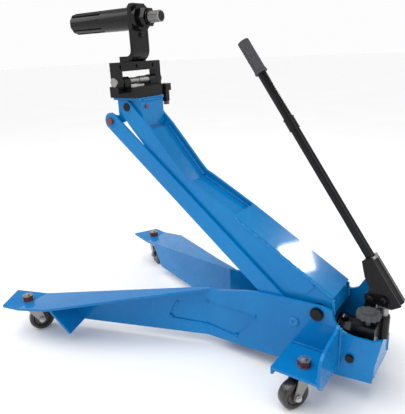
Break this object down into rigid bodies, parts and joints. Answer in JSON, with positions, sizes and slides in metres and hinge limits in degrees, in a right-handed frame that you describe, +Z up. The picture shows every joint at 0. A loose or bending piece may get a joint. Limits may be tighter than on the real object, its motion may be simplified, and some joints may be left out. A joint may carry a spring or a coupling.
{
  "type": "truck clutch jack",
  "caption": "Low hydraulic floor jack with splayed legs on casters, a parallel-linkage lift arm and a tilting splined mandrel for carrying truck clutches.",
  "frame": {"origin": "on the floor, at the middle of the jack's box", "axes": "+Z up, the mandrel points along -Y, +X is towards the left hand of a person standing at the handle and facing along -Y"},
  "size_m": [0.608, 0.934, 0.7964],
  "materials": {
    "blue_paint": "gloss",
    "black_paint": "gloss",
    "zinc_steel": "satin",
    "dull_steel": "satin",
    "red_bolt": "satin",
    "wheel_plastic": "satin",
    "grip_rubber": "matte",
    "knob_plastic": "matte"
  },
  "bodies": {
    "base": {"leg_right": "blue_paint", "leg_left": "blue_paint", "leg_guards": "blue_paint", "leg_backing_plates": "blue_paint", "outriggers": "blue_paint", "outrigger_gussets": "blue_paint", "front_tie_channel": "blue_paint", "rear_tie_plate": "blue_paint", "pump_pan": "blue_paint", "main_pivot_shaft": "black_paint", "link_anchor_pins": "blue_paint", "pump_mount_bolts": "black_paint", "caster_nuts": "zinc_steel", "caster_races": "dull_steel", "pump_block": "black_paint", "reservoir": "black_paint", "ram_cylinder": "dull_steel", "filler_plug": "black_paint", "fulcrum_post": "black_paint"},
    "arm": {"arm_plate_right": "blue_paint", "arm_plate_left": "blue_paint", "arm_cover": "blue_paint", "arm_inner_web": "blue_paint", "arm_rear_plate": "blue_paint", "arm_doublers": "blue_paint", "ram_cross_pin": "zinc_steel", "head_pivot_pin": "black_paint"},
    "links": {"link_bars": "blue_paint"},
    "head": {"head_plate": "blue_paint", "head_ears": "blue_paint", "head_rear_plate": "blue_paint", "link_front_bolts": "red_bolt"},
    "swivel": {"swivel_base": "black_paint", "swivel_king_bolt": "zinc_steel", "swivel_lock_bolt": "red_bolt"},
    "yoke": {"tilt_yoke": "black_paint", "tilt_pin": "dull_steel", "gooseneck": "black_paint", "mandrel_collar": "black_paint", "yoke_screws": "black_paint"},
    "mandrel": {"mandrel": "black_paint", "mandrel_nut": "black_paint"},
    "ram": {"ram_rod": "zinc_steel", "ram_head": "zinc_steel"},
    "handle": {"handle_socket": "black_paint", "handle_cheeks": "black_paint", "handle_pins": "black_paint"},
    "plunger": {"pump_plunger": "dull_steel"},
    "tube": {"handle_lower_tube": "black_paint", "handle_upper_tube": "black_paint", "handle_grip": "grip_rubber"},
    "knob": {"release_knob": "knob_plastic"},
    "fork_fr": {"fork_front_right": "dull_steel"},
    "fork_fl": {"fork_front_left": "dull_steel"},
    "fork_rr": {"fork_rear_right": "dull_steel"},
    "fork_rl": {"fork_rear_left": "dull_steel"},
    "wheel_fr": {"wheel_front_right": "wheel_plastic"},
    "wheel_fl": {"wheel_front_left": "wheel_plastic"},
    "wheel_rr": {"wheel_rear_right": "wheel_plastic"},
    "wheel_rl": {"wheel_rear_left": "wheel_plastic"}
  },
  "joints": [
    {"name": "lift", "type": "hinge", "parent": "base", "child": "arm", "pos_m": [0, 0.32, 0.175], "axis": [-1, 0, 0], "range_deg": [-42, 8]},
    {"name": "links_swing", "type": "hinge", "parent": "base", "child": "links", "pos_m": [0, 0.27, 0.141], "axis": [-1, 0, 0], "range_deg": [-42.5, 8.5]},
    {"name": "head_level", "type": "hinge", "parent": "arm", "child": "head", "pos_m": [0, -0.17176, 0.57039], "axis": [1, 0, 0], "range_deg": [-42.5, 8.5]},
    {"name": "ram_stroke", "type": "slide", "parent": "base", "child": "ram", "axis": [0, -1, 0], "range_m": [-0.05, 0.0105]},
    {"name": "head_swivel", "type": "hinge", "parent": "head", "child": "swivel", "pos_m": [0, -0.173, 0.6], "axis": [0, 0, 1], "range_deg": [-8, 8]},
    {"name": "head_tilt", "type": "hinge", "parent": "swivel", "child": "yoke", "pos_m": [0, -0.171, 0.629], "axis": [1, 0, 0], "range_deg": [-10, 10]},
    {"name": "mandrel_turn", "type": "hinge", "parent": "yoke", "child": "mandrel", "pos_m": [0, -0.2, 0.76539], "axis": [0, 1, 0], "continuous": true},
    {"name": "pump_handle", "type": "hinge", "parent": "base", "child": "handle", "pos_m": [-0.016, 0.406, 0.209], "axis": [1, 0, 0], "range_deg": [-36, 0]},
    {"name": "plunger_stroke", "type": "slide", "parent": "base", "child": "plunger", "axis": [0, 0, 1], "range_m": [-0.0163, 0.0005]},
    {"name": "handle_pull", "type": "slide", "parent": "handle", "child": "tube", "axis": [0, -0.565, 0.8251], "range_m": [0, 0.058]},
    {"name": "release_turn", "type": "hinge", "parent": "base", "child": "knob", "pos_m": [0.0295, 0.413, 0.18], "axis": [0, 0, 1], "range_deg": [0, 180]},
    {"name": "swivel_fr", "type": "hinge", "parent": "base", "child": "fork_fr", "pos_m": [0.251, -0.394, 0.08], "axis": [0, 0, 1], "continuous": true},
    {"name": "roll_fr", "type": "hinge", "parent": "fork_fr", "child": "wheel_fr", "pos_m": [0.22935, -0.3815, 0.032], "axis": [-0.5, -0.866, 0], "continuous": true},
    {"name": "swivel_fl", "type": "hinge", "parent": "base", "child": "fork_fl", "pos_m": [-0.251, -0.394, 0.08], "axis": [0, 0, 1], "continuous": true},
    {"name": "roll_fl", "type": "hinge", "parent": "fork_fl", "child": "wheel_fl", "pos_m": [-0.2385, -0.37235, 0.032], "axis": [-0.866, 0.5, 0], "continuous": true},
    {"name": "swivel_rr", "type": "hinge", "parent": "base", "child": "fork_rr", "pos_m": [0.117, 0.32, 0.08], "axis": [0, 0, 1], "continuous": true},
    {"name": "roll_rr", "type": "hinge", "parent": "fork_rr", "child": "wheel_rr", "pos_m": [0.13865, 0.3075, 0.032], "axis": [0.5, 0.866, 0], "continuous": true},
    {"name": "swivel_rl", "type": "hinge", "parent": "base", "child": "fork_rl", "pos_m": [-0.117, 0.32, 0.08], "axis": [0, 0, 1], "continuous": true},
    {"name": "roll_rl", "type": "hinge", "parent": "fork_rl", "child": "wheel_rl", "pos_m": [-0.14049, 0.31145, 0.032], "axis": [0.342, -0.9397, 0], "continuous": true}
  ],
  "couplings": [
    {"joint": "links_swing", "follows": "lift", "ratio": 1},
    {"joint": "head_level", "follows": "lift", "ratio": 1},
    {"joint": "ram_stroke", "follows": "lift", "m_per_rad": 0.067},
    {"joint": "plunger_stroke", "follows": "pump_handle", "m_per_rad": 0.0251}
  ]
}
